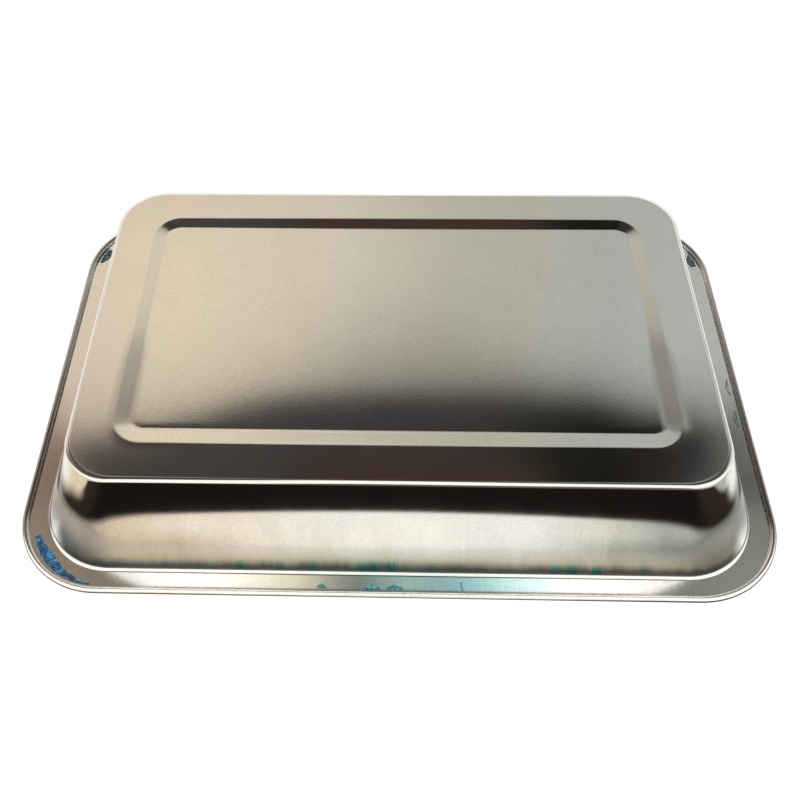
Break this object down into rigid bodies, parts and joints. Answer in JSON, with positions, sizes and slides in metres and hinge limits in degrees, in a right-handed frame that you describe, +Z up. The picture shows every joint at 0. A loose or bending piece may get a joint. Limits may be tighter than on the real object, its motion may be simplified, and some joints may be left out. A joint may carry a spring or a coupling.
{
  "type": "paint roller tray",
  "caption": "Shallow rectangular steel tray with leaning walls, a flat floor with a raised panel, a flat flange and a rolled rim; scraps of protective film cling under the flange.",
  "frame": {"origin": "on the resting plane, under the centre of the tray", "axes": "+Z up out of the tray's mouth, X along its length, Y across it"},
  "size_m": [0.4, 0.2694, 0.057],
  "materials": {
    "steel": "satin mill finish on floor and base, drawn streaks down the walls, polished bends",
    "wire": "drawn wire, dull",
    "film": "thin crinkled translucent blue film"
  },
  "bodies": {
    "root": {"tray_pan": "steel", "rim_wire": "wire", "film_corner": "film", "film_front_1": "film", "film_front_2": "film", "film_front_3": "film", "film_front_4": "film", "film_side_1": "film", "film_side_2": "film", "film_back_1": "film", "film_back_2": "film"}
  },
  "joints": []
}
